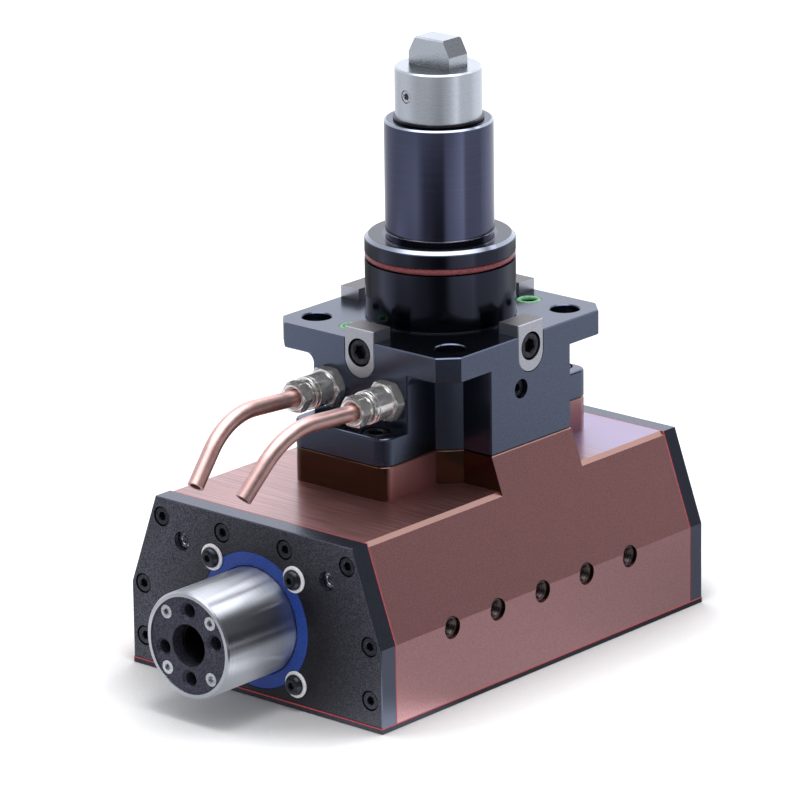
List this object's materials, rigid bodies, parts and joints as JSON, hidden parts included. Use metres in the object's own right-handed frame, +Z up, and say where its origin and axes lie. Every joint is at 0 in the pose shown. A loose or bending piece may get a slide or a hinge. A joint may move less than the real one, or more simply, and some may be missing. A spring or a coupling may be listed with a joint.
{
  "type": "live tool holder",
  "caption": "Right-angle driven tool holder: vertical shank with drive tang, square flange on a cross block, sloped housing and a horizontal spindle nose with two coolant pipes.",
  "frame": {"origin": "on the shank axis, at the underside of the base plate", "axes": "+Z up the shank towards the drive tang, -Y along the spindle towards its nose, +X to the right seen from the nose"},
  "size_m": [0.12, 0.2157, 0.2227],
  "materials": {
    "anodised_housing": "satin red-brown anodised aluminium",
    "black_cover": "black anodised aluminium, fine-blasted",
    "black_plate": "blackened steel sheet",
    "red_gasket": "thin red sealing sheet",
    "black_screw": "black oxide screw",
    "zinc_screw": "bright zinc screw",
    "blue_seal": "matte blue sealing ring",
    "white_washer": "white washer",
    "black_steel": "black oxide on fine-blasted steel",
    "gloss_black_steel": "glossy black oxide on ground steel",
    "red_o_ring": "dark red O-ring",
    "green_o_ring": "green O-ring",
    "ground_steel": "ground steel",
    "nickel_fitting": "nickel-plated brass",
    "copper_pipe": "drawn copper",
    "thread_insert": "plain steel thread insert",
    "bearing_steel": "polished bearing steel",
    "cage_brass": "brass cage",
    "gear_steel": "case-hardened gear steel",
    "black_rubber": "black shaft seal"
  },
  "bodies": {
    "holder": {"housing": "anodised_housing", "front_cover": "black_cover", "rear_cover": "black_cover", "base_plate": "black_plate", "front_gasket": "red_gasket", "rear_gasket": "red_gasket", "base_gasket": "red_gasket", "front_cover_screws": "black_screw", "rear_cover_screws": "black_screw", "base_plate_screws": "black_screw", "front_plug_screws": "zinc_screw", "seal_ring": "blue_seal", "seal_clamp_screws": "black_screw", "seal_clamp_washers": "white_washer", "adapter_block": "black_steel", "adapter_screws": "black_screw", "shank": "gloss_black_steel", "shank_o_ring": "red_o_ring", "coolant_o_rings": "green_o_ring", "location_keys": "ground_steel", "key_screws": "black_screw", "coolant_plug_screw": "black_screw", "fitting_bodies": "nickel_fitting", "fitting_nuts": "nickel_fitting", "coolant_pipe_left": "copper_pipe", "coolant_pipe_right": "copper_pipe", "side_thread_inserts": "thread_insert", "input_seal": "black_rubber", "front_bearing_outer_ring": "bearing_steel", "rear_bearing_outer_ring": "bearing_steel", "lower_bearing_outer_ring": "bearing_steel", "upper_bearing_outer_ring": "bearing_steel"},
    "spindle_group": {"spindle": "ground_steel", "nose_plate": "black_steel", "nose_screws": "zinc_screw", "bevel_gear": "gear_steel", "gear_key": "gear_steel", "gear_spacer": "gear_steel", "bearing_nut": "gear_steel", "rear_nut": "gear_steel", "front_bearing_inner_ring": "bearing_steel", "rear_bearing_inner_ring": "bearing_steel"},
    "input_group": {"input_shaft": "ground_steel", "bevel_pinion": "gear_steel", "pinion_screw": "black_screw", "pinion_key": "gear_steel", "drive_coupling": "ground_steel", "coupling_screw": "black_screw", "dust_ring": "black_rubber", "lower_bearing_inner_ring": "bearing_steel", "upper_bearing_inner_ring": "bearing_steel"},
    "front_bearing_balls_and_cage": {"front_bearing_balls": "bearing_steel", "front_bearing_cage": "cage_brass"},
    "rear_bearing_balls_and_cage": {"rear_bearing_balls": "bearing_steel", "rear_bearing_cage": "cage_brass"},
    "lower_bearing_balls_and_cage": {"lower_bearing_balls": "bearing_steel", "lower_bearing_cage": "cage_brass"},
    "upper_bearing_balls_and_cage": {"upper_bearing_balls": "bearing_steel", "upper_bearing_cage": "cage_brass"}
  },
  "joints": [
    {"name": "spindle_spin", "type": "hinge", "parent": "holder", "child": "spindle_group", "pos_m": [0, 0, 0.0292], "axis": [0, 1, 0], "continuous": true},
    {"name": "input_spin", "type": "hinge", "parent": "holder", "child": "input_group", "pos_m": [0, 0, 0.0292], "axis": [0, 0, 1], "continuous": true},
    {"name": "front_cage_spin", "type": "hinge", "parent": "holder", "child": "front_bearing_balls_and_cage", "pos_m": [0, 0, 0.0292], "axis": [0, 1, 0], "continuous": true},
    {"name": "rear_cage_spin", "type": "hinge", "parent": "holder", "child": "rear_bearing_balls_and_cage", "pos_m": [0, 0, 0.0292], "axis": [0, 1, 0], "continuous": true},
    {"name": "lower_cage_spin", "type": "hinge", "parent": "holder", "child": "lower_bearing_balls_and_cage", "pos_m": [0, 0, 0.0292], "axis": [0, 0, 1], "continuous": true},
    {"name": "upper_cage_spin", "type": "hinge", "parent": "holder", "child": "upper_bearing_balls_and_cage", "pos_m": [0, 0, 0.0292], "axis": [0, 0, 1], "continuous": true}
  ],
  "couplings": [
    {"joint": "input_spin", "follows": "spindle_spin", "ratio": 1},
    {"joint": "front_cage_spin", "follows": "spindle_spin", "ratio": 0.4316},
    {"joint": "rear_cage_spin", "follows": "spindle_spin", "ratio": 0.39},
    {"joint": "lower_cage_spin", "follows": "spindle_spin", "ratio": 0.4213},
    {"joint": "upper_cage_spin", "follows": "spindle_spin", "ratio": 0.4143}
  ]
}
